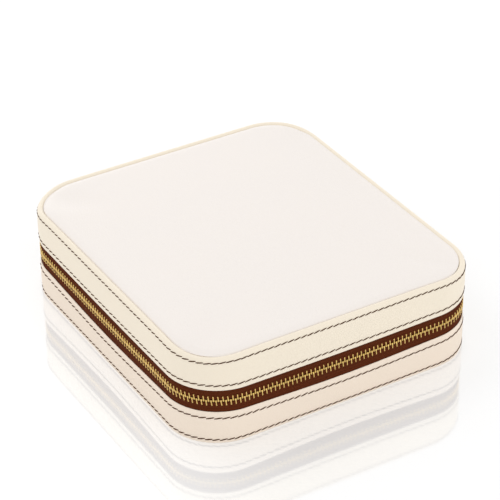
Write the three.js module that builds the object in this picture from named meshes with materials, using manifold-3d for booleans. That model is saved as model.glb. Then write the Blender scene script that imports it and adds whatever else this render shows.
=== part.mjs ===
// Zip-round leather jewelry box: a rounded-square case with a padded lid, a metal zip round three
// sides, a stitched leather spine at the back, and a velvet-lined inside with ring rolls and a mirror.
//
// Millimetres. Origin: middle of the underside. +Z up, +Y towards the hinge, -Y towards the front.
// Every wall piece is set out from the case's plan outline by an inset, measured inwards.

import * as THREE from 'three';
import { mergeVertices } from 'three/addons/utils/BufferGeometryUtils.js';
import Module from 'manifold-3d';

const wasm = await Module();
wasm.setup();

// ---- Driving dimensions -------------------------------------------------------------------------

const caseWidth = 165;
const caseDepth = 183;
const caseHeight = 49.4;
const cornerRadius = 27.7;
const cornerSteps = 8;
const zipHeight = 24.35;

const fit = 0.3; // clearance between neighbouring pieces
const leather = 1.2;
const board = 2.2;
const lining = 1;
const tape = 0.6;

// Zip: visible tape between the leather bands, and the chain in its middle.
const tapeWindow = 12.3;
const tapeSewnMargin = 7.2;
const toothHeight = 2.4;
const toothDepth = 2.4;
const toothGap = 1.4;
const chainInset = 0.6;
const stopLength = 1.8;

// Slider and its pull.
const sliderLength = 12.5;
const sliderFront = 9.2;
const sliderRear = 7;
const sliderPlate = 1.1;
const sliderPost = 0.8;
const sliderPostLength = 3.2;
const bailReach = 4.2;
const bailLeg = 1.6;
const bailBarRadius = 0.6;
const bailGap = 1.6;
const linkWire = 1;
const linkDrop = 5.5;
const tabThickness = 0.9;
const tabWidth = 6;
const tabEyeRadius = 2.1;
const tabHoleRadius = 1.05;
const tabShoulder = 5;
const tabEndRadius = 1.6;
const tabFloorClearance = 2.6;

// Lid.
const rimWidth = 3.5;
const rimHeight = 3.1;
const rimRound = 1.1;
const topCoverDrop = 0.5; // top panel's face below the rim's crown
const foam = 2;
const mirrorThickness = 1.6;
const mirrorWidth = 104;
const mirrorDepth = 118;
const mirrorCorner = 8;
const mirrorBorder = 7;
const mirrorFrameHeight = 2.4;

// Inside.
const trayBoard = 1.2;
const trayGap = 0.6;
const trayRise = 3.65; // tray wall above the zip's middle
const dividerThickness = 2.4;
const dividerTop = 24;
const backCompartment = 53;
const ringSectionWidth = 74;
const frontCompartment = 52;
const ringBed = 1.5;
const rollCount = 7;
const rollGap = 2;
const rollSteps = 20;

// Hinge spine.
const spineWidth = 95;
const spineFoot = 4;
const spineTop = 47;

// ---- Worked out from them -----------------------------------------------------------------------

const halfWidth = caseWidth / 2;
const halfDepth = caseDepth / 2;
const baseBandTop = zipHeight - tapeWindow / 2;
const lidBandFoot = zipHeight + tapeWindow / 2;

const tapeInset = leather + fit;
const frameInset = tapeInset + tape + fit;
const liningInset = frameInset + board + fit;
const trayInset = liningInset + lining + trayGap;
const innerInset = trayInset + trayBoard;
const insideInset = innerInset + fit;

const chainFoot = zipHeight - toothGap / 2 - toothHeight;
const chainHead = zipHeight + toothGap / 2 + toothHeight;
const frameGap = sliderFront / 2 + fit + 0.1;

const floorBoardTop = leather + fit + board;
const floorLiningTop = floorBoardTop + fit + lining;
const insideFloor = floorLiningTop + fit;

const rimFoot = caseHeight - rimHeight;
const coverTop = caseHeight - topCoverDrop;
const foamTop = coverTop - leather - fit;
const roofBoardTop = foamTop - foam - fit;
const roofBoardFoot = roofBoardTop - board;
const roofLiningFoot = roofBoardFoot - fit - lining;
const mirrorTop = roofLiningFoot - fit;

const straightEnd = halfDepth - cornerRadius;
const stopEnd = straightEnd - fit;
const chainEnd = stopEnd - stopLength - fit;
const sliderY = chainEnd - sliderLength / 2 - fit;
const bailX = halfWidth - chainInset + fit + sliderPlate + bailGap + bailBarRadius;
const linkRadius = bailBarRadius + fit + linkWire / 2;
const tabPivotZ = zipHeight - linkDrop - linkRadius;

// ---- Materials ----------------------------------------------------------------------------------

function material(color, roughness, metalness = 0) {
  return new THREE.MeshStandardMaterial({ color, roughness, metalness });
}

const whiteLeather = () => material(0xf3ece3, 0.5);
const velvet = () => material(0xdcc9b4, 0.95);
const greyBoard = () => material(0xa9a297, 0.9);
const paddingFoam = () => material(0xe9e4d8, 0.95);
const tapeWeave = () => material(0x4a2a1b, 0.85);
const brass = () => material(0xc9a04e, 0.3, 1);
const silvered = () => material(0xdfe6ea, 0.05, 1);

// ---- Outlines -----------------------------------------------------------------------------------

/** A quarter of the rounded corner in quadrant (sx, sy), turned from startDeg by 90 degrees. */
function cornerArc(sx, sy, inset, startDeg) {
  const cx = sx * (halfWidth - cornerRadius);
  const cy = sy * (halfDepth - cornerRadius);
  const radius = cornerRadius - inset;
  const points = [];
  for (let i = 0; i <= cornerSteps; i++) {
    const a = THREE.MathUtils.degToRad(startDeg + (90 * i) / cornerSteps);
    points.push(new THREE.Vector2(cx + radius * Math.cos(a), cy + radius * Math.sin(a)));
  }
  return points;
}

/** The whole plan outline, anticlockwise from the back-left corner. */
function outline(inset) {
  return [
    ...cornerArc(-1, 1, inset, 90),
    ...cornerArc(-1, -1, inset, 180),
    ...cornerArc(1, -1, inset, 270),
    ...cornerArc(1, 1, inset, 0),
  ];
}

/** The zip's path, from the spine's left end round to y = endY on the right wall. */
function zipPath(inset, endY) {
  return [
    new THREE.Vector2(-spineWidth / 2 + tapeSewnMargin, halfDepth - inset),
    ...cornerArc(-1, 1, inset, 90),
    ...cornerArc(-1, -1, inset, 180),
    ...cornerArc(1, -1, inset, 270),
    new THREE.Vector2(halfWidth - inset, endY),
  ];
}

/** The last stretch of the tape, from the chain's end on the right wall to behind the spine. */
function tapeEndPath(inset) {
  return [
    new THREE.Vector2(halfWidth - inset, straightEnd),
    ...cornerArc(1, 1, inset, 0).slice(1),
    new THREE.Vector2(spineWidth / 2 - tapeSewnMargin, halfDepth - inset),
  ];
}

/** A closed shape between one path at two insets. */
function bandShape(path, outer, inner) {
  return new THREE.Shape([...path(outer), ...path(inner).reverse()]);
}

function roundedRectangle(width, depth, radius) {
  const x = width / 2 - radius;
  const y = depth / 2 - radius;
  const shape = new THREE.Shape();
  shape.absarc(x, -y, radius, -Math.PI / 2, 0);
  shape.absarc(x, y, radius, 0, Math.PI / 2);
  shape.absarc(-x, y, radius, Math.PI / 2, Math.PI);
  shape.absarc(-x, -y, radius, Math.PI, Math.PI * 1.5);
  return shape;
}

// ---- Solids -------------------------------------------------------------------------------------

/** Extrudes a plan shape from z0 to z1, with its edges rounded by round. */
function extrude(shape, z0, z1, round = 0) {
  const geometry = new THREE.ExtrudeGeometry(shape, {
    depth: z1 - z0 - 2 * round,
    bevelEnabled: round > 0,
    bevelThickness: round,
    bevelSize: round,
    bevelOffset: -round,
    bevelSegments: 3,
    curveSegments: 4,
  });
  return geometry.translate(0, 0, z0 + round);
}

/** A ring of wall between two insets. */
function ring(outer, inner, z0, z1, round = 0) {
  const shape = new THREE.Shape(outline(outer));
  shape.holes.push(new THREE.Path(outline(inner)));
  return extrude(shape, z0, z1, round);
}

/** A flat panel that fills the outline at one inset. */
function panel(inset, z0, z1) {
  return extrude(new THREE.Shape(outline(inset)), z0, z1);
}

function slab(x0, x1, y0, y1, z0, z1) {
  const geometry = new THREE.BoxGeometry(x1 - x0, y1 - y0, z1 - z0);
  return geometry.translate((x0 + x1) / 2, (y0 + y1) / 2, (z0 + z1) / 2);
}

/** Turns a shape's x, y and depth into the model's Y, Z and X. */
function standUp(geometry) {
  const x = new THREE.Vector3(1, 0, 0);
  const y = new THREE.Vector3(0, 1, 0);
  const z = new THREE.Vector3(0, 0, 1);
  return geometry.applyMatrix4(new THREE.Matrix4().makeBasis(y, z, x));
}

function toManifold(geometry) {
  const bare = geometry.clone();
  bare.deleteAttribute('normal');
  bare.deleteAttribute('uv');
  const merged = mergeVertices(bare, 1e-4);
  return new wasm.Manifold(new wasm.Mesh({
    numProp: 3,
    vertProperties: new Float32Array(merged.attributes.position.array),
    triVerts: new Uint32Array(merged.index.array),
  }));
}

function toGeometry(solid) {
  const mesh = solid.getMesh();
  const geometry = new THREE.BufferGeometry();
  geometry.setAttribute('position', new THREE.BufferAttribute(mesh.vertProperties, 3));
  geometry.setIndex(new THREE.BufferAttribute(mesh.triVerts, 1));
  return geometry;
}

function join(geometries) {
  const solids = geometries.map(toManifold);
  return toGeometry(solids.reduce((whole, solid) => whole.add(solid)));
}

function common(a, b) {
  return toGeometry(toManifold(a).intersect(toManifold(b)));
}

function addPart(group, name, geometry, look) {
  const mesh = new THREE.Mesh(geometry, look);
  mesh.name = name;
  group.add(mesh);
}

// ---- Case base ----------------------------------------------------------------------------------

function buildBaseShell(group) {
  const frameTop = zipHeight - frameGap;
  const edge = zipHeight - fit;
  addPart(group, 'base_side_band', ring(0, leather, 0, baseBandTop), whiteLeather());
  addPart(group, 'base_bottom_cover', panel(leather + fit, 0, leather), whiteLeather());
  addPart(group, 'base_wall_frame', ring(frameInset, frameInset + board, leather + fit, frameTop), greyBoard());
  addPart(group, 'base_floor_board', panel(liningInset, leather + fit, floorBoardTop), greyBoard());
  addPart(group, 'base_floor_lining', panel(liningInset, floorBoardTop + fit, floorLiningTop), velvet());
  addPart(group, 'base_wall_lining', ring(liningInset, liningInset + lining, insideFloor, edge), velvet());
  addPart(group, 'tray_wall', ring(trayInset, innerInset, insideFloor, zipHeight + trayRise), velvet());
}

// ---- Inside -------------------------------------------------------------------------------------

const insideX = halfWidth - insideInset;
const insideY = halfDepth - insideInset;
const backDividerY = insideY - backCompartment;
const middleDividerX = -insideX + ringSectionWidth;
const crossDividerY = -insideY + frontCompartment;

function buildDividers(group) {
  const half = dividerThickness / 2;
  const front = -insideY;
  const back = backDividerY - half - fit;
  const long = slab(-insideX, insideX, backDividerY - half, backDividerY + half, insideFloor, dividerTop);
  const middle = slab(middleDividerX - half, middleDividerX + half, front, back, insideFloor, dividerTop);
  const crossLeft = middleDividerX + half + fit;
  const cross = slab(crossLeft, insideX, crossDividerY - half, crossDividerY + half, insideFloor, dividerTop);
  addPart(group, 'divider_long', long, velvet());
  addPart(group, 'divider_middle', middle, velvet());
  addPart(group, 'divider_cross', cross, velvet());
}

/** Half the inside's width at a given y, which narrows in the rounded corners. */
function insideHalfWidthAt(y) {
  const past = Math.abs(y) - straightEnd;
  const radius = cornerRadius - insideInset;
  if (past <= 0) return insideX;
  return halfWidth - cornerRadius + Math.sqrt(Math.max(radius * radius - past * past, 0));
}

function buildRingRolls(group) {
  const half = dividerThickness / 2;
  const right = middleDividerX - half - fit;
  const front = -insideY + fit;
  const back = backDividerY - half - fit;
  const pitch = (back - front) / rollCount;
  const radius = (pitch - rollGap) / 2;
  const bedTop = insideFloor + ringBed;
  const floorArea = slab(-halfWidth, right, -halfDepth, back, insideFloor, bedTop);
  const bed = common(panel(insideInset, insideFloor - fit, bedTop + fit), floorArea);
  addPart(group, 'ring_bed', bed, velvet());
  for (let i = 0; i < rollCount; i++) {
    const y = front + pitch * (i + 0.5);
    const left = -insideHalfWidthAt(Math.abs(y) + radius) + fit;
    const roll = new THREE.CylinderGeometry(radius, radius, right - left, rollSteps);
    roll.rotateZ(Math.PI / 2);
    roll.translate((left + right) / 2, y, bedTop + fit + radius);
    addPart(group, `ring_roll_${i + 1}`, roll, velvet());
  }
}

// ---- Lid ----------------------------------------------------------------------------------------

function buildLidShell(group) {
  const frameFoot = zipHeight + frameGap;
  const edge = zipHeight + fit;
  const frameTop = rimFoot - fit - 0.1;
  addPart(group, 'lid_side_band', ring(0, leather, lidBandFoot, rimFoot - fit), whiteLeather());
  addPart(group, 'lid_rim', ring(0, rimWidth, rimFoot, caseHeight, rimRound), whiteLeather());
  addPart(group, 'lid_top_cover', panel(rimWidth + fit, coverTop - leather, coverTop), whiteLeather());
  addPart(group, 'lid_foam_pad', panel(liningInset, foamTop - foam, foamTop), paddingFoam());
  addPart(group, 'lid_top_board', panel(liningInset, roofBoardFoot, roofBoardTop), greyBoard());
  addPart(group, 'lid_wall_frame', ring(frameInset, frameInset + board, frameFoot, frameTop), greyBoard());
  const wallLiningTop = roofBoardFoot - fit;
  addPart(group, 'lid_wall_lining', ring(liningInset, liningInset + lining, edge, wallLiningTop), velvet());
  const roofInset = liningInset + lining + fit;
  addPart(group, 'lid_roof_lining', panel(roofInset, roofLiningFoot, wallLiningTop), velvet());
}

function buildMirror(group) {
  const outer = roundedRectangle(
    mirrorWidth + 2 * mirrorBorder,
    mirrorDepth + 2 * mirrorBorder,
    mirrorCorner + mirrorBorder,
  );
  const seat = roundedRectangle(mirrorWidth + 2 * fit, mirrorDepth + 2 * fit, mirrorCorner + fit);
  outer.holes.push(seat);
  const plate = roundedRectangle(mirrorWidth, mirrorDepth, mirrorCorner);
  addPart(group, 'mirror_frame', extrude(outer, mirrorTop - mirrorFrameHeight, mirrorTop), whiteLeather());
  addPart(group, 'mirror', extrude(plate, mirrorTop - mirrorThickness, mirrorTop), silvered());
}

// ---- Zip ----------------------------------------------------------------------------------------

/** Tape, tooth row and end stop of one side: side is -1 for the base's and 1 for the lid's. */
function buildZipSide(group, suffix, side) {
  const sewnEdge = zipHeight + side * (tapeWindow / 2 + tapeSewnMargin);
  const cordEdge = (side < 0 ? chainFoot : chainHead) + side * fit;
  const meeting = zipHeight + side * fit;
  const rowEdge = zipHeight + (side * toothGap) / 2;
  const rowBack = rowEdge + side * toothHeight;
  const outer = tapeInset;
  const inner = tapeInset + tape;
  const chainInner = chainInset + toothDepth;

  const alongZip = bandShape((inset) => zipPath(inset, straightEnd), outer, inner);
  const roundEnd = bandShape(tapeEndPath, outer, inner);
  const tapeSolid = join([
    extrude(alongZip, Math.min(sewnEdge, cordEdge), Math.max(sewnEdge, cordEdge)),
    extrude(roundEnd, Math.min(sewnEdge, meeting), Math.max(sewnEdge, meeting)),
  ]);
  addPart(group, `zip_tape_${suffix}`, tapeSolid, tapeWeave());

  const row = bandShape((inset) => zipPath(inset, chainEnd), chainInset, chainInner);
  const rowSolid = extrude(row, Math.min(rowEdge, rowBack), Math.max(rowEdge, rowBack));
  addPart(group, `zip_teeth_${suffix}`, rowSolid, brass());

  const stop = slab(
    halfWidth - chainInner,
    halfWidth - chainInset,
    stopEnd - stopLength,
    stopEnd,
    Math.min(rowEdge, rowBack),
    Math.max(rowEdge, rowBack),
  );
  addPart(group, `zip_stop_${suffix}`, stop, brass());
}

/** The slider's plates are wide where the rows part, towards +Y, and narrow where they mesh. */
function sliderPlateShape() {
  const half = sliderLength / 2;
  const shoulder = half * 0.2;
  return new THREE.Shape([
    new THREE.Vector2(-half, -sliderRear / 2),
    new THREE.Vector2(-shoulder, -sliderRear / 2),
    new THREE.Vector2(shoulder, -sliderFront / 2),
    new THREE.Vector2(half, -sliderFront / 2),
    new THREE.Vector2(half, sliderFront / 2),
    new THREE.Vector2(shoulder, sliderFront / 2),
    new THREE.Vector2(-shoulder, sliderRear / 2),
    new THREE.Vector2(-half, sliderRear / 2),
  ]);
}

function buildSlider(group) {
  const outerFoot = halfWidth - chainInset + fit;
  const innerFoot = halfWidth - chainInset - toothDepth - fit - sliderPlate;
  const shape = sliderPlateShape();
  const outerPlate = standUp(extrude(shape, outerFoot, outerFoot + sliderPlate));
  const innerPlate = standUp(extrude(shape, innerFoot, innerFoot + sliderPlate));
  const postEnd = sliderLength / 2 - 0.5;
  const halfPost = sliderPost / 2;
  const postX = [innerFoot + sliderPlate / 2, outerFoot + sliderPlate / 2];
  const post = slab(postX[0], postX[1], postEnd - sliderPostLength, postEnd, -halfPost, halfPost);
  const bar = new THREE.CylinderGeometry(bailBarRadius, bailBarRadius, 2 * bailReach, 12);
  bar.translate(bailX, 0, 0);
  const solids = [outerPlate, innerPlate, post, bar];
  for (const end of [-1, 1]) {
    const near = end * (bailReach - bailLeg);
    const far = end * bailReach;
    const legTop = bailX + bailBarRadius;
    const legX = outerFoot + sliderPlate / 2;
    solids.push(slab(legX, legTop, Math.min(near, far), Math.max(near, far), -bailBarRadius, bailBarRadius));
  }
  const whole = join(solids);
  whole.translate(0, sliderY, zipHeight);
  addPart(group, 'slider_body', whole, brass());
}

/** A stadium loop in the XZ plane: its top turns round the bail's bar and its foot holds the tab. */
function buildPullLink(group) {
  const outerRadius = linkRadius + linkWire / 2;
  const innerRadius = linkRadius - linkWire / 2;
  const stadium = (radius, PathType) => {
    const path = new PathType();
    path.absarc(0, 0, radius, 0, Math.PI);
    path.absarc(0, -linkDrop, radius, Math.PI, 2 * Math.PI);
    return path;
  };
  const shape = stadium(outerRadius, THREE.Shape);
  shape.holes.push(stadium(innerRadius, THREE.Path));
  const geometry = extrude(shape, -linkWire / 2, linkWire / 2);
  geometry.rotateX(Math.PI / 2);
  geometry.translate(bailX, sliderY, zipHeight);
  addPart(group, 'pull_link', geometry, brass());
}

/** The tab hangs flat beside the wall from its eye at the link's foot. */
function buildPullTab(group) {
  const half = tabWidth / 2;
  const foot = tabFloorClearance - tabPivotZ;
  const shape = new THREE.Shape();
  shape.absarc(0, 0, tabEyeRadius, 0, Math.PI);
  shape.lineTo(-half, -tabShoulder);
  shape.absarc(-half + tabEndRadius, foot + tabEndRadius, tabEndRadius, Math.PI, Math.PI * 1.5);
  shape.absarc(half - tabEndRadius, foot + tabEndRadius, tabEndRadius, Math.PI * 1.5, Math.PI * 2);
  shape.lineTo(half, -tabShoulder);
  const hole = new THREE.Path();
  hole.absarc(0, 0, tabHoleRadius, 0, Math.PI * 2);
  shape.holes.push(hole);
  const geometry = standUp(extrude(shape, -tabThickness / 2, tabThickness / 2));
  geometry.translate(bailX, sliderY, tabPivotZ);
  addPart(group, 'pull_tab', geometry, brass());
}

// ---- Hinge --------------------------------------------------------------------------------------

/** Leather spine outside and webbing inside, each in two halves that meet at the hinge line. */
function buildHinge(group) {
  const half = spineWidth / 2;
  const y0 = halfDepth + fit;
  const y1 = y0 + leather;
  addPart(group, 'spine_lower', slab(-half, half, y0, y1, spineFoot, zipHeight - fit), whiteLeather());
  addPart(group, 'spine_upper', slab(-half, half, y0, y1, zipHeight + fit, spineTop), whiteLeather());
  const webY = halfDepth - frameInset - board / 2;
  const webHalf = half - fit;
  const reach = frameGap - fit;
  const webs = [
    ['hinge_web_lower', zipHeight - reach, zipHeight - fit],
    ['hinge_web_upper', zipHeight + fit, zipHeight + reach],
  ];
  for (const [name, z0, z1] of webs) {
    addPart(group, name, slab(-webHalf, webHalf, webY - tape / 2, webY + tape / 2, z0, z1), tapeWeave());
  }
}

// ---- Whole box ----------------------------------------------------------------------------------

const base = new THREE.Group();
buildBaseShell(base);
buildDividers(base);
buildRingRolls(base);
buildZipSide(base, 'lower', -1);

const lid = new THREE.Group();
buildLidShell(lid);
buildMirror(lid);
buildZipSide(lid, 'upper', 1);

const slider = new THREE.Group();
buildSlider(slider);
buildPullLink(slider);
buildPullTab(slider);

const jewelryBox = new THREE.Group();
jewelryBox.add(base, lid, slider);
buildHinge(jewelryBox);

export default jewelryBox;
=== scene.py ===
"""Looks of the zip-round leather jewelry box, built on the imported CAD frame.

Lengths in this script are millimetres until a mesh is made, which turns them into metres.
Lights, and shader coordinates, are in metres.
The wall pieces are carried along the case's plan outline: s is the distance round it,
anticlockwise from the middle of the back wall, and an inset is measured inwards from it.
"""

import math
import random

import bmesh
import bpy
import numpy as np
from mathutils import Matrix, Vector


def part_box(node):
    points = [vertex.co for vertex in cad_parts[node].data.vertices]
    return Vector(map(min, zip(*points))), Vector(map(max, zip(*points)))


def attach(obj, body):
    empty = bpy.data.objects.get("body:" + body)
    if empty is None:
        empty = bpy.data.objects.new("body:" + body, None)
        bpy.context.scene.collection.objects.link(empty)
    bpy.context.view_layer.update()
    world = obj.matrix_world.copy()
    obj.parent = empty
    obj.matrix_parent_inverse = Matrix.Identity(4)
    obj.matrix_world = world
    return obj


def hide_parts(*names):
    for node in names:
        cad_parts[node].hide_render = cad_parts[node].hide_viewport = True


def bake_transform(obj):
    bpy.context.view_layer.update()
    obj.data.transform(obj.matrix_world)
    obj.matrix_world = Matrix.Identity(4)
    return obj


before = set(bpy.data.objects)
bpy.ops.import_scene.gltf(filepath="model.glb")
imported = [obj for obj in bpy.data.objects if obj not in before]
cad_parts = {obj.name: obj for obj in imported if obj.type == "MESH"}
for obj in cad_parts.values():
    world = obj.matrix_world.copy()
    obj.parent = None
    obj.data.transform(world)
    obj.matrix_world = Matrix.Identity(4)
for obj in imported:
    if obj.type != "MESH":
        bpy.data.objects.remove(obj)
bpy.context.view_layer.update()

MM = 0.001
random.seed(7)

# ---- Sizes, from the frame where it gives them ------------------------------------------------


def node_box(node):
    """Lowest and highest corners of a CAD node, in millimetres."""
    low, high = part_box(node)
    return [v / MM for v in low], [v / MM for v in high]


BASE_BAND = node_box("base_side_band")
LID_BAND = node_box("lid_side_band")
HALF_WIDTH = BASE_BAND[1][0]
HALF_DEPTH = BASE_BAND[1][1]
HEIGHT = node_box("lid_rim")[1][2]
CORNER = 27.7
STRAIGHT_X = HALF_WIDTH - CORNER
STRAIGHT_Y = HALF_DEPTH - CORNER
ARC = CORNER * math.pi / 2

ZIP_Z = (node_box("zip_teeth_lower")[1][2] + node_box("zip_teeth_upper")[0][2]) / 2
BASE_TOP = BASE_BAND[1][2]
LID_FOOT = LID_BAND[0][2]

# Heights of the four stitch rows and of the leather's edges beside the zip.
TOP_SEAM = 47.2
LID_SEAM = 33.25
BASE_SEAM = 14.5
FOOT_SEAM = 1.95
EDGE_OVERLAP = 0.1
BASE_EDGE = BASE_TOP - EDGE_OVERLAP
LID_EDGE = LID_FOOT - EDGE_OVERLAP

# How far each line droops in the middle of a side wall and of the front wall.
BASE_DIP = (2.26, 1.83)
BASE_SEAM_DIP = (2.5, 1.75)
LID_DIP = (0.45, 0.65)
CHAIN_DIP = (0.8, 0.75)
TOP_SEAM_DIP = (0.0, 0.45)
FOOT_SEAM_DIP = (0.0, 0.5)

# How far the lid's padded edge gives way over each rounded corner, and over what reach.
CORNER_DROOP = 1.5
DROOP_REACH = 15.0

# ---- The wall's outline -----------------------------------------------------------------------

# Each stretch: its length, then a straight's start and heading, or an arc's centre and first angle.
STRETCHES = [
    (STRAIGHT_X, (0, HALF_DEPTH), (-1, 0)),
    (ARC, (-STRAIGHT_X, STRAIGHT_Y), 90),
    (2 * STRAIGHT_Y, (-HALF_WIDTH, STRAIGHT_Y), (0, -1)),
    (ARC, (-STRAIGHT_X, -STRAIGHT_Y), 180),
    (2 * STRAIGHT_X, (-STRAIGHT_X, -HALF_DEPTH), (1, 0)),
    (ARC, (STRAIGHT_X, -STRAIGHT_Y), 270),
    (2 * STRAIGHT_Y, (HALF_WIDTH, -STRAIGHT_Y), (0, 1)),
    (ARC, (STRAIGHT_X, STRAIGHT_Y), 0),
    (STRAIGHT_X, (STRAIGHT_X, HALF_DEPTH), (-1, 0)),
]
PERIMETER = sum(stretch[0] for stretch in STRETCHES)
LEFT_START = STRAIGHT_X + ARC
FRONT_START = LEFT_START + 2 * STRAIGHT_Y + ARC
RIGHT_START = FRONT_START + 2 * STRAIGHT_X + ARC
RIGHT_END = RIGHT_START + 2 * STRAIGHT_Y


def wall_at(s):
    """Point on the outer outline and its outward normal, s millimetres round the wall."""
    s %= PERIMETER
    for length, start, heading in STRETCHES:
        if s <= length:
            break
        s -= length
    if isinstance(heading, tuple):
        dx, dy = heading
        return Vector((start[0] + dx * s, start[1] + dy * s)), Vector((dy, -dx))
    angle = math.radians(heading) + s / CORNER
    normal = Vector((math.cos(angle), math.sin(angle)))
    return Vector(start) + CORNER * normal, normal


def stations(first, last):
    """Values of s from first to last, close together on the rounded corners."""
    straight_step, arc_step = 5.0, 1.6
    values = [first]
    at = 0
    for length, _, heading in STRETCHES:
        step = straight_step if isinstance(heading, tuple) else arc_step
        count = max(1, round(length / step))
        values += [at + length * i / count for i in range(count)]
        at += length
    return sorted({round(v, 4) for v in values + [last] if first <= v <= last})


ROUND = stations(0, PERIMETER)[:-1]


def sag(s, dip):
    """The droop of a line round the wall: none at the corners, dip = (side, front) in the middle."""
    for start, length, depth in (
        (LEFT_START, 2 * STRAIGHT_Y, dip[0]),
        (FRONT_START, 2 * STRAIGHT_X, dip[1]),
        (RIGHT_START, 2 * STRAIGHT_Y, dip[0]),
    ):
        reach = length + ARC
        t = (s - start + ARC / 2) / reach
        if 0 <= t <= 1:
            return -depth * math.sin(math.pi * t) ** 2
    return 0.0


def corner_droop(s):
    """The padded edge is low at both left corners and from the front right one along the right wall."""
    low_stretches = (
        (LEFT_START - ARC / 2, LEFT_START - ARC / 2),
        (FRONT_START - ARC / 2, FRONT_START - ARC / 2),
        (RIGHT_START - ARC / 2, RIGHT_END),
    )
    away = [max(first - s, 0, s - last) for first, last in low_stretches]
    return -CORNER_DROOP * sum(math.exp(-((a / DROOP_REACH) ** 2)) for a in away)


# ---- Mesh making ------------------------------------------------------------------------------


def make_object(name, verts, faces, uvs=None, smooth_angle=40):
    """A mesh object from points in millimetres; uvs are in millimetres too, one list for each face."""
    mesh = bpy.data.meshes.new(name)
    mesh.from_pydata([tuple(c * MM for c in v) for v in verts], [], faces)
    if uvs is not None:
        layer = mesh.uv_layers.new(name="wall")
        flat = [c * MM for face in uvs for uv in face for c in uv]
        layer.data.foreach_set("uv", flat)
    work = bmesh.new()
    work.from_mesh(mesh)
    bmesh.ops.recalc_face_normals(work, faces=work.faces)
    work.to_mesh(mesh)
    work.free()
    mesh.shade_smooth()
    mesh.set_sharp_from_angle(angle=math.radians(smooth_angle))
    obj = bpy.data.objects.new(name, mesh)
    bpy.context.scene.collection.objects.link(obj)
    return obj


def on_wall(s, inset, z):
    """Point at height z, s round the wall and inset from its outer face."""
    point, normal = wall_at(s)
    point = point - normal * inset
    return (point.x, point.y, z)


def sweep(name, profile, path=ROUND, ring=True, lift=None, smooth_angle=40):
    """Carries a closed profile of (inset, z) points along the wall, each raised by lift(s, z)."""
    count = len(profile)
    rows = []
    for s in path:
        rows.append([(s, z + (lift(s, z) if lift else 0.0), inset) for inset, z in profile])
    verts = [on_wall(s, inset, z) for row in rows for s, z, inset in row]
    faces = []
    uvs = []
    for i in range(len(path) - (0 if ring else 1)):
        j = (i + 1) % len(path)
        wrap = PERIMETER if j == 0 else 0
        for k in range(count):
            m = (k + 1) % count
            faces.append((i * count + k, i * count + m, j * count + m, j * count + k))
            corners = [(rows[i][k], 0), (rows[i][m], 0), (rows[j][m], wrap), (rows[j][k], wrap)]
            uvs.append([(c[0] + w, c[1]) for c, w in corners])
    if not ring:
        last = (len(path) - 1) * count
        for start, row in ((0, rows[0]), (last, rows[-1])):
            faces.append(tuple(start + k for k in range(count)))
            uvs.append([(c[0], c[1]) for c in row])
    return make_object(name, verts, faces, uvs, smooth_angle)


def fillet(points, radii, steps=4):
    """Rounds the corners of a closed polygon, each over its own reach along the two sides."""
    out = []
    n = len(points)
    for i, (point, radius) in enumerate(zip(points, radii)):
        if radius <= 0:
            out.append(point)
            continue
        here = Vector(point)
        before = Vector(points[i - 1]) - here
        after = Vector(points[(i + 1) % n]) - here
        start = here + before.normalized() * radius
        end = here + after.normalized() * radius
        for k in range(steps + 1):
            t = k / steps
            p = start * (1 - t) ** 2 + here * 2 * t * (1 - t) + end * t**2
            out.append((p.x, p.y))
    return out


def stack(name, loops, smooth_angle=40):
    """Skins closed loops of points, one above the other, and caps both ends with a fan."""
    count = len(loops[0])
    verts = [p for loop in loops for p in loop]
    faces = []
    for i in range(len(loops) - 1):
        for k in range(count):
            m = (k + 1) % count
            faces.append((i * count + k, i * count + m, (i + 1) * count + m, (i + 1) * count + k))
    for start, loop in ((0, loops[0]), ((len(loops) - 1) * count, loops[-1])):
        centre = [sum(c) / count for c in zip(*loop)]
        verts.append(centre)
        faces += [(start + k, start + (k + 1) % count, len(verts) - 1) for k in range(count)]
    return make_object(name, verts, faces, smooth_angle=smooth_angle)


def join_copies(name, verts, faces, placings, smooth_angle=40):
    """One object of many copies of a small mesh, each placed by a 4x4 matrix in millimetres."""
    base = np.c_[np.array(verts, float), np.ones(len(verts))]
    all_verts = np.concatenate([(base @ np.array(m, float).T)[:, :3] for m in placings])
    all_faces = []
    for i in range(len(placings)):
        all_faces += [tuple(v + i * len(verts) for v in face) for face in faces]
    return make_object(name, all_verts.tolist(), all_faces, smooth_angle=smooth_angle)


def wall_matrix(s, inset, z, slant=0.0):
    """Local x runs along the wall, y up and z outwards; slant turns x towards y."""
    point, normal = wall_at(s)
    origin = point - normal * inset
    along = Vector((-normal.y, normal.x, 0))
    up = Vector((0, 0, 1))
    x = along * math.cos(slant) + up * math.sin(slant)
    y = up * math.cos(slant) - along * math.sin(slant)
    out = Vector((normal.x, normal.y, 0))
    m = Matrix((x, y, out)).transposed().to_4x4()
    m.translation = (origin.x, origin.y, z)
    return m


# ---- Materials --------------------------------------------------------------------------------


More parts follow.
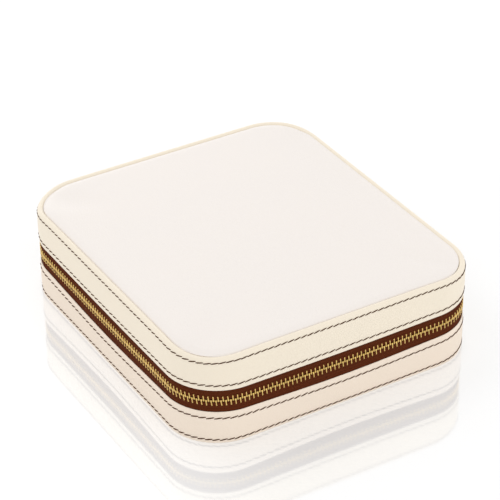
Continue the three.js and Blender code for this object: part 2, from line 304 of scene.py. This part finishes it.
class Shader:
    """A material's node tree, with short calls that make and join its nodes."""

    def __init__(self, name, color, roughness, metallic=0.0, **constants):
        self.material = bpy.data.materials.new(name)
        self.material.use_nodes = True
        self.material.diffuse_color = (*color, 1)
        self.tree = self.material.node_tree
        self.surface = self.tree.nodes["Principled BSDF"]
        self.surface.inputs["Base Color"].default_value = (*color, 1)
        self.surface.inputs["Roughness"].default_value = roughness
        self.surface.inputs["Metallic"].default_value = metallic
        for key, value in constants.items():
            self.surface.inputs[key.replace("_", " ")].default_value = value
        self.coordinates = self.tree.nodes.new("ShaderNodeTexCoord")

    def node(self, kind, inputs=(), **settings):
        made = self.tree.nodes.new("ShaderNode" + kind)
        for key, value in settings.items():
            setattr(made, key, value)
        for key, value in dict(inputs).items():
            if isinstance(value, bpy.types.NodeSocket):
                self.tree.links.new(value, made.inputs[key])
            else:
                made.inputs[key].default_value = value
        return made

    def place(self, stretch=(1, 1, 1)):
        """Object coordinates, stretched along each axis."""
        mapping = self.node("Mapping", {"Vector": self.coordinates.outputs["Object"], "Scale": stretch})
        return mapping.outputs["Vector"]

    def noise(self, scale, detail=3.0, rough=0.55, stretch=(1, 1, 1), distortion=0.0):
        inputs = {
            "Vector": self.place(stretch),
            "Scale": scale,
            "Detail": detail,
            "Roughness": rough,
            "Distortion": distortion,
        }
        return self.node("TexNoise", inputs).outputs["Fac"]

    def cells(self, scale, feature="F1"):
        inputs = {"Vector": self.place(), "Scale": scale}
        return self.node("TexVoronoi", inputs, feature=feature).outputs["Distance"]

    def math(self, operation, a, b=0.0):
        return self.node("Math", {0: a, 1: b}, operation=operation).outputs[0]

    def remap(self, value, low, high, to_low=0.0, to_high=1.0):
        inputs = {"Value": value, 1: low, 2: high, 3: to_low, 4: to_high}
        return self.node("MapRange", inputs).outputs[0]

    def mix(self, factor, a, b):
        made = self.node("Mix", {}, data_type="RGBA")
        self.tree.links.new(factor, made.inputs[0])
        for index, value in ((6, a), (7, b)):
            if isinstance(value, bpy.types.NodeSocket):
                self.tree.links.new(value, made.inputs[index])
            else:
                made.inputs[index].default_value = (*value, 1)
        return made.outputs[2]

    def color(self, socket):
        self.tree.links.new(socket, self.surface.inputs["Base Color"])

    def roughness(self, socket):
        self.tree.links.new(socket, self.surface.inputs["Roughness"])

    def glow(self, socket):
        self.tree.links.new(socket, self.surface.inputs["Emission Strength"])

    def bump(self, *layers):
        """Each layer is (height socket, distance in millimetres); they are added one after another."""
        normal = None
        for height, distance in layers:
            inputs = {"Height": height, "Distance": distance * MM, "Strength": 1.0}
            if normal is not None:
                inputs["Normal"] = normal
            normal = self.node("Bump", inputs).outputs["Normal"]
        self.tree.links.new(normal, self.surface.inputs["Normal"])


def shade(color, factor):
    """A colour made lighter or darker, with no channel above 1."""
    return tuple(min(1.0, c * factor) for c in color)


def leather(name, color, warm):
    """Smooth coated leather: fine pebbled grain, soft creases, slightly uneven tone and gloss."""
    look = Shader(name, color, 0.5, Specular_IOR_Level=0.42)
    grain = look.cells(1500, "SMOOTH_F1")
    pores = look.noise(2600, 4, 0.6)
    creases = look.noise(70, 5, 0.6, distortion=0.8)
    clouds = look.noise(22, 3, 0.5)
    tone = look.mix(look.remap(clouds, 0.3, 0.7), shade(color, 0.985), warm)
    fine = look.mix(look.remap(grain, 0.0, 0.6), tone, shade(color, 1.015))
    look.color(fine)
    look.roughness(look.remap(pores, 0.3, 0.7, 0.44, 0.56))
    look.bump((creases, 0.10), (grain, 0.05), (pores, 0.02))
    return look.material


def velvet(name, color):
    """Short-cut velvet nap with painted light: patches where the nap lies another way are painted
    lighter and darker (painted sheen) as well as bumped, and its fine hollows are painted darker
    (painted shade).
    """
    look = Shader(name, color, 0.95, Sheen_Weight=0.55, Sheen_Roughness=0.35, Specular_IOR_Level=0.2)
    pile_and_shade = look.noise(3800, 4, 0.7)
    brushed_nap_and_sheen = look.noise(45, 4, 0.6, stretch=(1, 0.4, 1), distortion=1.2)
    # Painted sheen: patches of the nap are painted from 0.82 to 1.1 of the colour, as though they
    # caught the light.
    tone = look.mix(look.remap(brushed_nap_and_sheen, 0.35, 0.65), shade(color, 0.82), shade(color, 1.1))
    # Painted shade: the nap's fine hollows are painted darker, down to 0.7 of the colour.
    look.color(look.mix(look.remap(pile_and_shade, 0.35, 0.65), shade(color, 0.7), tone))
    look.bump((brushed_nap_and_sheen, 0.12), (pile_and_shade, 0.12))
    return look.material


def woven_tape(name, color, light):
    """Herringbone zip tape: slanted yarns that change direction from one rib to the next."""
    look = Shader(name, color, 0.85, Specular_IOR_Level=0.06)
    uv = look.node("UVMap", uv_map="wall").outputs["UV"]
    parts = look.node("SeparateXYZ", {0: uv})
    rib_width, yarn_width, rib_gap = 0.9 * MM, 0.62 * MM, 0.12 * MM
    rib = look.math("PINGPONG", parts.outputs[1], rib_width)
    slanted = look.math("ADD", parts.outputs[0], rib)
    yarn = look.math("SINE", look.math("MULTIPLY", slanted, 2 * math.pi / yarn_width))
    rib_edge = look.remap(rib, 0.0, rib_gap)
    fibre = look.noise(5200, 3, 0.7)
    height = look.math("MULTIPLY", look.remap(yarn, -1, 1), rib_edge)
    worn = look.mix(look.remap(fibre, 0.3, 0.7), color, light)
    # Painted shade: the hollows between the yarns and the gaps between the ribs are painted darker,
    # down to 0.45 of the colour.
    look.color(look.mix(height, shade(color, 0.45), worn))
    look.bump((height, 0.14), (fibre, 0.04))
    return look.material


def webbing(name, color):
    """Plain-woven strip inside the hinge."""
    look = Shader(name, color, 0.85, Specular_IOR_Level=0.25)
    parts = look.node("SeparateXYZ", {0: look.coordinates.outputs["Object"]})
    yarn_width = 0.7 * MM
    turns = 2 * math.pi / yarn_width
    warp = look.math("SINE", look.math("MULTIPLY", parts.outputs[0], turns))
    weft = look.math("SINE", look.math("MULTIPLY", parts.outputs[2], turns))
    weave_and_painted_light = look.remap(look.math("MULTIPLY", warp, weft), -1, 1)
    # Painted light and shade: the raised parts of the weave are painted up to 1.4 of the colour and its
    # hollows down to 0.5.
    look.color(look.mix(weave_and_painted_light, shade(color, 0.5), shade(color, 1.4)))
    look.bump((weave_and_painted_light, 0.1), (look.noise(5000, 2), 0.03))
    return look.material


def metal(name, color, rough):
    """Plated brass: fine polishing marks, slightly duller patches."""
    look = Shader(name, color, rough, 1.0)
    marks = look.noise(900, 3, 0.6, stretch=(1, 1, 9))
    patches = look.noise(180, 3, 0.5)
    look.color(look.mix(look.remap(patches, 0.3, 0.75), color, shade(color, 0.86)))
    look.roughness(look.remap(patches, 0.3, 0.7, rough * 0.85, rough * 1.25))
    look.bump((marks, 0.02), (patches, 0.02))
    return look.material


def thread(name, color):
    """Waxed twisted thread."""
    look = Shader(name, color, 0.8, Specular_IOR_Level=0.05)
    twist_and_painted_light = look.noise(2400, 2, 0.5, stretch=(1, 1, 2.5))
    # Painted light and shade: the thread is painted up to 1.35 of the colour where the twist stands
    # high and down to 0.6 in its hollows.
    look.color(look.mix(look.remap(twist_and_painted_light, 0.35, 0.65), shade(color, 0.6), shade(color, 1.35)))
    look.bump((twist_and_painted_light, 0.08))
    return look.material


def greyboard(name, color):
    """Pressed grey board: short fibres and dark specks."""
    look = Shader(name, color, 0.92, Specular_IOR_Level=0.2)
    fibre = look.noise(900, 5, 0.7, stretch=(1, 0.3, 1))
    specks = look.cells(700)
    tone = look.mix(look.remap(fibre, 0.35, 0.65), shade(color, 0.85), shade(color, 1.12))
    look.color(look.mix(look.remap(specks, 0.0, 0.12), shade(color, 0.6), tone))
    look.bump((fibre, 0.06))
    return look.material


def foam(name, color):
    """Open-celled foam: small round pores."""
    look = Shader(name, color, 0.95, Specular_IOR_Level=0.15)
    pores = look.cells(1600)
    # Painted shade: the pores' hollows are painted darker, down to 0.75 of the colour.
    look.color(look.mix(look.remap(pores, 0.1, 0.5), shade(color, 0.75), color))
    look.bump((pores, 0.2))
    return look.material


def silvering(name):
    """Mirror glass: bright, with the faintest haze."""
    look = Shader(name, (0.9, 0.92, 0.92), 0.015, 1.0, Coat_Weight=0.4, Coat_Roughness=0.01)
    haze = look.noise(30, 4, 0.6)
    look.roughness(look.remap(haze, 0.35, 0.75, 0.008, 0.03))
    look.color(look.mix(haze, (0.88, 0.91, 0.90), (0.93, 0.94, 0.94)))
    return look.material


LOOKS = {
    "leather_top": leather("leather_top", (0.83, 0.78, 0.74), (0.84, 0.78, 0.73)),
    "leather_lid": leather("leather_lid", (0.85, 0.765, 0.63), (0.86, 0.765, 0.62)),
    "leather_base": leather("leather_base", (0.85, 0.735, 0.615), (0.86, 0.735, 0.605)),
    "velvet": velvet("velvet", (0.47, 0.33, 0.22)),
    "board": greyboard("greyboard", (0.33, 0.30, 0.26)),
    "foam": foam("foam", (0.82, 0.78, 0.68)),
    "tape": woven_tape("zip_tape", (0.125, 0.026, 0.007), (0.18, 0.042, 0.012)),
    "webbing": webbing("hinge_webbing", (0.10, 0.04, 0.02)),
    "brass": metal("zip_brass", (0.74, 0.51, 0.17), 0.28),
    "thread": thread("thread", (0.07, 0.022, 0.003)),
    "mirror": silvering("mirror_glass"),
}


def dress(obj, look, body=None, replaces=()):
    """Gives a piece its material, its body and the CAD nodes that it stands for."""
    obj.data.materials.clear()
    obj.data.materials.append(LOOKS[look])
    if body:
        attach(obj, body)
    if replaces:
        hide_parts(*replaces)


# ---- Leather bands ----------------------------------------------------------------------------

LEATHER = 0.7
BELLY = 0.22
SEAM_PINCH = 0.16
SEAM_REACH = 0.9


def pinch(z, *seams):
    """How far the thread pulls the leather in near its rows."""
    return sum(SEAM_PINCH * math.exp(-(((z - seam) / SEAM_REACH) ** 2)) for seam in seams)


def lid_inset(z):
    """Outer face of the lid's band: fullest at its middle, drawn in at its two seams."""
    middle = (LID_FOOT + HEIGHT) / 2
    reach = (HEIGHT - LID_FOOT) / 2
    belly = BELLY * ((z - middle) / reach) ** 2
    return belly + pinch(z, TOP_SEAM - 0.2, LID_SEAM)


def base_inset(z):
    """Outer face of the base's band, in the same way."""
    middle = BASE_TOP / 2
    belly = BELLY * ((z - middle) / middle) ** 2
    return belly + pinch(z, FOOT_SEAM, BASE_SEAM)


def levels(low, high, step=0.6):
    """Even heights from low to high, about a step apart."""
    count = max(2, round((high - low) / step))
    return [low + (high - low) * i / count for i in range(count + 1)]


def ramp(value, start, end):
    """A smooth rise from 0 at start to 1 at end, which may be the lower of the two."""
    t = min(1.0, max(0.0, (value - start) / (end - start)))
    return t * t * (3 - 2 * t)


def lid_lift(s, z):
    """The lid's lower edge waves with the zip, its upper part droops, and both fade in between."""
    above_edge = z - LID_EDGE
    waving = ramp(above_edge, 12, 3)
    drooping = ramp(above_edge, 9, 16)
    return waving * sag(s, LID_DIP) + drooping * corner_droop(s)


def make_lid_band():
    """Side leather whose upper edge is rolled over into a lip round the padded top."""
    lip = 1.75
    steps = 12
    groove_depth = 1.6
    cut_round = 0.3
    doubled = LEATHER + 0.8
    doubled_z, taper = LID_EDGE + 7.5, 1.5
    lip_z = HEIGHT - lip
    wall = [(lid_inset(z), z) for z in levels(LID_EDGE, lip_z)]
    side = lid_inset(lip_z)
    crown = []
    for k in range(1, steps + 1):
        a = math.pi * k / steps
        crown.append((side + (lip - side / 2) * (1 - math.cos(a)), lip_z + lip * math.sin(a)))
    inner = crown[-1][0]
    groove = [(inner + 0.05, lip_z - groove_depth), (doubled, lip_z - groove_depth - 0.3)]
    back = [(doubled, doubled_z + taper), (LEATHER, doubled_z), (LEATHER, LID_EDGE)]
    points = wall + crown + groove + back
    radii = [0.0] * len(points)
    radii[0] = radii[-1] = cut_round
    band = sweep("lid_band", fillet(points, radii), lift=lid_lift)
    dress(band, "leather_lid", "lid", ["lid_side_band", "lid_rim"])


def base_lift(s, z):
    """The base's upper edge sags in the middle of a wall; the foot stays flat."""
    sagging = ramp(z, 5, 13)
    return sagging * sag(s, BASE_DIP)


def make_base_band():
    """Side leather of the base, doubled inside its lower part."""
    doubled = 2 * LEATHER
    doubled_z, taper = 7, 2
    foot_round, cut_round, inner_round = 0.5, 0.3, 0.25
    wall = [(base_inset(z), z) for z in levels(0, BASE_EDGE)]
    back = [(LEATHER, BASE_EDGE), (LEATHER, doubled_z + taper), (doubled, doubled_z), (doubled, 0)]
    points = wall + back
    radii = [0.0] * len(points)
    radii[0] = foot_round
    radii[-1] = radii[len(wall) - 1] = cut_round
    radii[len(wall)] = inner_round
    band = sweep("base_band", fillet(points, radii), lift=base_lift)
    dress(band, "leather_base", "base", ["base_side_band"])


def outline_loop(inset, z, droop=0.0):
    """A level loop inside the outline, or one with a share of the lid edge's droop."""
    return [on_wall(s, inset, z + droop * corner_droop(s)) for s in ROUND]


def make_top_panel():
    """Padded leather top: it dips into the groove inside the lip and rises to a nearly flat crown."""
    low, high = node_box("lid_top_cover")
    edge, shoulder = 3.45, 5.0
    shoulder_z = high[2] + 0.75
    dip, crown = 1.35, 0.28
    shoulder_droop = 0.7
    shoulder_steps, crown_steps = 10, 24
    loops = [outline_loop(edge, low[2])]
    for k in range(shoulder_steps + 1):
        t = k / shoulder_steps
        z = shoulder_z - dip * (1 - math.sqrt(1 - (1 - t) ** 2))
        loops.append(outline_loop(edge + shoulder * t, z, 1 - (1 - shoulder_droop) * t))
    ring = outline_loop(edge + shoulder, shoulder_z)
    droops = [shoulder_droop * corner_droop(s) for s in ROUND]
    for k in range(1, crown_steps):
        share = 1 - k / crown_steps
        rise = crown * (1 - share**2)
        fade = ramp(share, 2 / 3, 1)
        lifts = [rise + fade * droop for droop in droops]
        loops.append([(x * share, y * share, z + up) for (x, y, z), up in zip(ring, lifts)])
    underside = [(x, y, low[2]) for x, y, _ in loops[-1]]
    panel = stack("lid_top_panel", [underside] + loops, smooth_angle=60)
    dress(panel, "leather_top", "lid", ["lid_top_cover"])


# ---- Stitching --------------------------------------------------------------------------------


def stitch_shape(length):
    """One stitch along x: a short thread that rises out of the leather and dives back in."""
    thread_radius, lift, sunk = 0.31, 0.1, 0.04
    rings, sides = 7, 8
    verts = []
    for i in range(rings):
        t = i / (rings - 1)
        bow = math.sin(math.pi * t)
        radius = thread_radius * (0.6 + 0.4 * bow**0.6)
        for k in range(sides):
            a = 2 * math.pi * k / sides
            height = lift * bow - sunk + radius * math.sin(a)
            verts.append((length * (t - 0.5), radius * math.cos(a), height))
    faces = []
    for i in range(rings - 1):
        for k in range(sides):
            m = (k + 1) % sides
            faces.append((i * sides + k, i * sides + m, (i + 1) * sides + m, (i + 1) * sides + k))
    faces.append(tuple(range(sides)))
    faces.append(tuple((rings - 1) * sides + k for k in range(sides)))
    return verts, faces


def stitch_row(name, body, z, inset, pitch, dip, droop):
    """A row of slanting stitches round the wall, drooping with the leather that it holds."""
    fullness, slant, slant_spread, wobble = 1.03, 12, 2.5, 0.06
    count = round(PERIMETER / pitch)
    step = PERIMETER / count
    verts, faces = stitch_shape(step * fullness)
    placings = []
    for i in range(count):
        s = step * (i + 0.5)
        off_line = random.uniform(-wobble, wobble)
        turn = math.radians(slant + random.uniform(-slant_spread, slant_spread))
        height = z + sag(s, dip) + droop * corner_droop(s) + off_line
        placings.append(wall_matrix(s, inset, height, turn))
    row = join_copies(name, verts, faces, placings)
    dress(row, "thread", body)


def make_wall_stitches():
    """Two rows on the lid and two on the base; the last value is a row's share of the edge's droop."""
    close, wide = 3.6, 3.83
    rows = (
        ("lid_top_stitches", "lid", "leather_lid", TOP_SEAM, lid_inset, close, TOP_SEAM_DIP, 1),
        ("lid_edge_stitches", "lid", "leather_lid", LID_SEAM, lid_inset, wide, LID_DIP, 0),
        ("base_edge_stitches", "base", "leather_base", BASE_SEAM, base_inset, wide, BASE_SEAM_DIP, 0),
        ("base_foot_stitches", "base", "leather_base", FOOT_SEAM, base_inset, close, FOOT_SEAM_DIP, 0),
    )
    for name, body, slot, z, inset, pitch, dip, droop in rows:
        stitch_row(name, body, z, inset(z), pitch, dip, droop)


# ---- Zip --------------------------------------------------------------------------------------

CHAIN_INSET = 1.1
TAPE_INSET = 0.75
TAPE = 0.6
TAPE_TUCK = 7.2
TOOTH_PITCH = 2.37
STOP_GAP = 0.2
CHAIN_START = node_box("spine_lower")[1][0]
CHAIN_END = RIGHT_START + node_box("zip_stop_lower")[0][1] + STRAIGHT_Y - STOP_GAP


def tooth_shape():
    """One tooth, seen from outside: x along the wall, y up to its head, z outwards from its middle."""
    leg, neck, head = 0.33, 0.28, 0.46
    foot = [(0.14, -2.6), (leg, -2.72), (leg, -1.9)]
    top = [(neck, -0.8), (head, -0.4), (head, 0.25), (0.24, 0.5)]
    right = foot + top
    outline = right + [(-x, y) for x, y in reversed(right)]
    depth, soft = 0.8, 0.14
    verts = []
    for z, shrink in ((-depth, soft), (-depth + soft, 0), (depth - soft, 0), (depth, soft)):
        for x, y in outline:
            verts.append((x - math.copysign(shrink, x), y - math.copysign(shrink, y + 1), z))
    n = len(outline)
    faces = [tuple(range(n)), tuple(3 * n + k for k in range(n))]
    for i in range(3):
        for k in range(n):
            m = (k + 1) % n
            faces.append((i * n + k, i * n + m, (i + 1) * n + m, (i + 1) * n + k))
    return verts, faces


def make_teeth():
    """Both tooth rows; the lid's teeth stand half a pitch on, head down between the base's."""
    verts, faces = tooth_shape()
    lean = math.radians(7)
    loose, crooked = 0.04, 0.03
    count = int((CHAIN_END - CHAIN_START) / TOOTH_PITCH)
    sides = (
        ("zip_teeth_base", "base", "zip_teeth_lower", 1, 0.25),
        ("zip_teeth_lid", "lid", "zip_teeth_upper", -1, 0.75),
    )
    for name, body, node, up, phase in sides:
        flip = Matrix.Rotation(0 if up > 0 else math.pi, 4, "Z")
        placings = []
        for i in range(count):
            s = CHAIN_START + TOOTH_PITCH * (i + phase)
            inset = CHAIN_INSET + random.uniform(-loose, loose)
            place = wall_matrix(s, inset, ZIP_Z + sag(s, CHAIN_DIP))
            tilt = Matrix.Rotation(lean + random.uniform(-crooked, crooked), 4, "Z")
            placings.append(place @ flip @ tilt)
        row = join_copies(name, verts, faces, placings, smooth_angle=50)
        dress(row, "brass", body, [node])


def make_tape(name, body, node, side):
    """Woven tape with a corded edge; past the chain the edge comes nearer to the zip's middle."""
    half_window, half_gap, closed_by = 6.15, 0.8, 0.6
    cord, swell = 1.6, 0.35
    clear_of_chain = CHAIN_END + 2
    sewn = ZIP_Z + side * (half_window + TAPE_TUCK)
    edge = ZIP_Z + side * half_gap

    def tape_lift(s, z):
        give = min(1.0, (z - sewn) / (edge + side - sewn))
        return give * (-side * closed_by if s > clear_of_chain else sag(s, CHAIN_DIP))

    inside = TAPE_INSET + TAPE
    flat = levels(sewn, edge + side * cord, 1.5)
    near, far = edge + side * 0.4, edge + side * 1.0
    outer_face = [(TAPE_INSET, z) for z in flat]
    outer_cord = [(TAPE_INSET - swell, far), (TAPE_INSET - swell, near)]
    inner_cord = [(inside + swell, near), (inside + swell, far)]
    inner_face = [(inside, z) for z in reversed(flat)]
    tip = [((TAPE_INSET + inside) / 2, edge)]
    profile = outer_face + outer_cord + tip + inner_cord + inner_face
    path = stations(CHAIN_START - TAPE_TUCK, PERIMETER - CHAIN_START + TAPE_TUCK)
    tape = sweep(name, profile, path, ring=False, lift=tape_lift, smooth_angle=50)
    dress(tape, "tape", body, [node])


# ---- Hinge ------------------------------------------------------------------------------------


def upright_panel(name, node_low, node_high, edge_round, step):
    """A thin upright panel that spans two CAD halves, in fine rows."""
    low = node_box(node_low)[0]
    high = node_box(node_high)[1]
    half = (high[0] - low[0]) / 2
    y_mid = (low[1] + high[1]) / 2
    half_thick = (high[1] - low[1]) / 2
    thinnest = 0.15
    columns = max(2, round(half / 4))
    loops = []
    for z in levels(low[2], high[2], step):
        to_end = min(z - low[2], high[2] - z)
        taper = math.sqrt(max(0.0, 1 - (1 - min(1.0, to_end / edge_round)) ** 2))
        fullness = max(thinnest, taper)
        y_half = half_thick * fullness
        x_half = half - edge_round * 0.6 * (1 - fullness)
        outer = [(x_half * (2 * k / columns - 1), y_half) for k in range(columns + 1)]
        inner = [(-x, -y) for x, y in outer]
        radii = [0.0] * len(outer + inner)
        for corner in (0, columns, columns + 1, 2 * columns + 1):
            radii[corner] = y_half * 0.9
        loops.append([(x, y_mid + y, z) for x, y in fillet(outer + inner, radii, 3)])
    return stack(name, loops, smooth_angle=50)


def bend_over(piece):
    """Bakes the piece's placing into its mesh; the piece is not bent."""
    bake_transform(piece)


def make_hinge():
    """Leather spine outside and webbing inside, each one piece from the base to the lid."""
    spine = upright_panel("spine", "spine_lower", "spine_upper", edge_round=0.6, step=0.6)
    dress(spine, "leather_lid", None, ["spine_lower", "spine_upper"])
    bend_over(spine)
    web = upright_panel("hinge_web", "hinge_web_lower", "hinge_web_upper", edge_round=0.3, step=0.4)
    dress(web, "webbing", None, ["hinge_web_lower", "hinge_web_upper"])
    bend_over(web)
    make_spine_stitches()


def make_spine_stitches():
    """Rows down both ends of the spine, and across its foot and head."""
    low, high = node_box("spine_lower")[0], node_box("spine_upper")[1]
    margin, pitch, fullness = 2.6, 3.7, 0.84
    verts, faces = stitch_shape(pitch * fullness)
    placings = []
    for x in (low[0] + margin, high[0] - margin):
        count = int((high[2] - low[2] - 2 * margin) / pitch)
        for i in range(count):
            z = low[2] + margin + pitch * (i + 0.5)
            placings.append(back_matrix(x, z, high[1], 90))
    for z in (low[2] + margin, high[2] - margin):
        count = int((high[0] - low[0] - 2 * margin) / pitch)
        for i in range(count):
            x = low[0] + margin + pitch * (i + 0.5)
            placings.append(back_matrix(x, z, high[1], 0))
    row = join_copies("spine_stitches", verts, faces, placings)
    dress(row, "thread")
    bend_over(row)


def back_matrix(x, z, y, turn):
    """A stitch's place on the spine's back face: local x across the back, z outwards."""
    slant = 6
    a = math.radians(turn + slant)
    across = Vector((-math.cos(a), 0, math.sin(a)))
    up = Vector((math.sin(a), 0, math.cos(a)))
    m = Matrix((across, up, Vector((0, 1, 0)))).transposed().to_4x4()
    m.translation = (x, y, z)
    return m


# ---- Inside -----------------------------------------------------------------------------------


def make_lining(name, body, node, thick, round_low, round_high):
    """A velvet-covered wall with rounded edges."""
    low, high = node_box(node)
    outer = HALF_WIDTH - high[0]
    inner = outer + thick
    points = [(outer, low[2]), (outer, high[2]), (inner, high[2]), (inner, low[2])]
    radii = [round_low, round_high, round_high, round_low]
    wall = sweep(name, fillet(points, radii), smooth_angle=60)
    dress(wall, "velvet", body, [node])


def make_ring_roll(node):
    """Foam roll covered in velvet: softly domed ends and a flat where it rests on its bed."""
    low, high = node_box(node)
    x_mid, y_mid, z_mid = ((a + b) / 2 for a, b in zip(low, high))
    half = (high[0] - low[0]) / 2
    radius = (high[2] - low[2]) / 2
    flat = -radius * 0.93
    steps, sides = 24, 32
    loops = []
    for k in range(steps + 1):
        u = -math.cos(math.pi * k / steps)
        dome = max(0.02, (1 - abs(u) ** 14) ** 0.5)
        ripple = 1 + 0.012 * math.sin(5 * u + y_mid)
        r = radius * dome * ripple
        loop = []
        for j in range(sides):
            a = 2 * math.pi * j / sides
            z = max(r * math.sin(a), flat)
            loop.append((x_mid + half * u, y_mid + r * math.cos(a), z_mid + z))
        loops.append(loop)
    roll = stack(node.replace("ring_roll", "velvet_roll"), loops, smooth_angle=80)
    dress(roll, "velvet", "base", [node])


def make_foam_pad():
    """Foam sheet under the lid's leather, with a bulging edge."""
    low, high = node_box("lid_foam_pad")
    edge, bulge = HALF_WIDTH - high[0], 0.8
    steps = 6
    loops = []
    for k in range(steps + 1):
        inset = edge + bulge * (1 - math.sin(math.pi * k / steps))
        loops.append(outline_loop(inset, low[2] + (high[2] - low[2]) * k / steps))
    pad = stack("foam_pad", loops)
    dress(pad, "foam", "lid", ["lid_foam_pad"])


# CAD nodes that stay, with their looks and the widths of their softened edges.
CAD_LOOKS = {
    "base_bottom_cover": ("leather_base", 0.4),
    "base_wall_frame": ("board", 0.2),
    "base_floor_board": ("board", 0.2),
    "lid_wall_frame": ("board", 0.2),
    "lid_top_board": ("board", 0.2),
    "base_floor_lining": ("velvet", 0.3),
    "lid_roof_lining": ("velvet", 0.3),
    "divider_long": ("velvet", 0.9),
    "divider_middle": ("velvet", 0.9),
    "divider_cross": ("velvet", 0.9),
    "ring_bed": ("velvet", 0.4),
    "mirror_frame": ("leather_lid", 0.8),
    "mirror": ("mirror", 0.25),
    "zip_stop_lower": ("brass", 0.35),
    "zip_stop_upper": ("brass", 0.35),
    "slider_body": ("brass", 0.25),
    "pull_link": ("brass", 0.22),
    "pull_tab": ("brass", 0.25),
}


def dress_cad_nodes():
    """Gives the CAD nodes that stay a real material and rounded edges."""
    for node, (look, round_edge) in CAD_LOOKS.items():
        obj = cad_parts[node]
        obj.data.materials.clear()
        obj.data.materials.append(LOOKS[look])
        soften = obj.modifiers.new("soften", "BEVEL")
        soften.width = round_edge * MM
        soften.segments = 3
        soften.limit_method = "ANGLE"
        soften.angle_limit = math.radians(35)
        soften.harden_normals = False
        obj.data.shade_smooth()


# ---- Stage ------------------------------------------------------------------------------------


def make_floor():
    """Glossy white acrylic that glows a little all over, in place of light from underneath, and more to
    the left of the case, where the extra glow is painted light.
    """
    size = 4000
    glow, painted_left_glow = 0.28, 0.36
    corners = [(-size, -size, 0), (size, -size, 0), (size, size, 0), (-size, size, 0)]
    floor = make_object("floor", corners, [(0, 1, 2, 3)])
    constants = {"IOR": 2.9, "Emission_Color": (1, 1, 1, 1), "Emission_Strength": glow}
    look = Shader("floor", (0.62, 0.62, 0.62), 0.06, **constants)
    clouds = look.noise(1.5, 2)
    look.color(look.mix(clouds, (0.61, 0.61, 0.61), (0.63, 0.63, 0.63)))
    look.roughness(look.remap(clouds, 0.3, 0.7, 0.05, 0.07))
    across = look.node("SeparateXYZ", {0: look.coordinates.outputs["Object"]}).outputs[0]
    # Painted light: left of x = -0.07 m the floor glows more, fully so beyond x = -0.11 m, a painted
    # brightening beside the case's left wall.
    look.glow(look.remap(across, -0.11, -0.07, painted_left_glow, glow))
    floor.data.materials.append(look.material)


def area_light(name, place, aim, size, power, color=(1, 1, 1)):
    """A rectangular softbox: place, aim and size in metres, power in watts."""
    light = bpy.data.lights.new(name, "AREA")
    light.shape = "RECTANGLE"
    light.size, light.size_y = size
    light.energy = power
    light.color = color
    obj = bpy.data.objects.new(name, light)
    obj.location = place
    obj.rotation_mode = "QUATERNION"
    obj.rotation_quaternion = (Vector(aim) - Vector(place)).to_track_quat("-Z", "Y")
    bpy.context.scene.collection.objects.link(obj)


def make_lights():
    """A white studio: an even world, a key above, strips for the far edges and two low fills."""
    world = bpy.data.worlds.new("studio")
    world.use_nodes = True
    background = world.node_tree.nodes["Background"]
    background.inputs["Color"].default_value = (1, 1, 1, 1)
    background.inputs["Strength"].default_value = 0.97
    bpy.context.scene.world = world
    area_light("key_softbox", (-0.8, 0.9, 1.6), (0, 0, 0), (0.9, 0.9), 3.4)
    area_light("back_strip", (0.2, 1.6, 0.35), (0, 0, 0.05), (1.4, 0.3), 3.6)
    area_light("right_strip", (1.6, 0.4, 0.3), (0, 0, 0.05), (1.2, 0.3), 1.6)
    area_light("front_fill", (0.7, -1.4, 0.4), (0, 0, 0.03), (0.9, 0.6), 2.5)
    area_light("side_fill", (-1.5, 0.2, 0.3), (0, 0, 0.03), (0.9, 0.5), 0.08, (1, 0.6, 0.6))


def make_camera():
    """A long lens from the front left, a little above 30 degrees, tilted slightly to the right."""
    azimuth, elevation, roll = (math.radians(a) for a in (-30.47, 32.71, -0.70))
    case_widths_away = 6.7563
    distance = case_widths_away * 2 * HALF_WIDTH * MM
    target = Vector((0, 0, 37.1 * MM))
    back = Vector((
        math.sin(azimuth) * math.cos(elevation),
        -math.cos(azimuth) * math.cos(elevation),
        math.sin(elevation),
    ))
    right = Vector((math.cos(azimuth), math.sin(azimuth), 0))
    up = back.cross(right)
    turned_right = right * math.cos(roll) + up * math.sin(roll)
    turned_up = up * math.cos(roll) - right * math.sin(roll)
    matrix = Matrix((turned_right, turned_up, back)).transposed().to_4x4()
    matrix.translation = target + back * distance
    camera = bpy.data.cameras.new("camera")
    camera.sensor_width = 36
    camera.lens = 159.3
    camera.shift_x = 0.006
    camera.clip_end = 100
    obj = bpy.data.objects.new("camera", camera)
    obj.matrix_world = matrix
    bpy.context.scene.collection.objects.link(obj)
    bpy.context.scene.camera = obj
    bpy.context.scene.view_settings.view_transform = "Standard"


# ---- Everything -------------------------------------------------------------------------------

make_camera()
make_lights()
make_floor()
make_lid_band()
make_base_band()
make_top_panel()
make_wall_stitches()
make_teeth()
make_tape("zip_tape_base", "base", "zip_tape_lower", side=-1)
make_tape("zip_tape_lid", "lid", "zip_tape_upper", side=1)
make_hinge()
make_lining("base_lining", "base", "base_wall_lining", thick=1.0, round_low=0.2, round_high=0.4)
make_lining("tray_lining", "base", "tray_wall", thick=1.2, round_low=0.2, round_high=0.55)
make_lining("lid_lining", "lid", "lid_wall_lining", thick=1.0, round_low=0.4, round_high=0.2)
for number in range(1, 8):
    make_ring_roll(f"ring_roll_{number}")
make_foam_pad()
dress_cad_nodes()
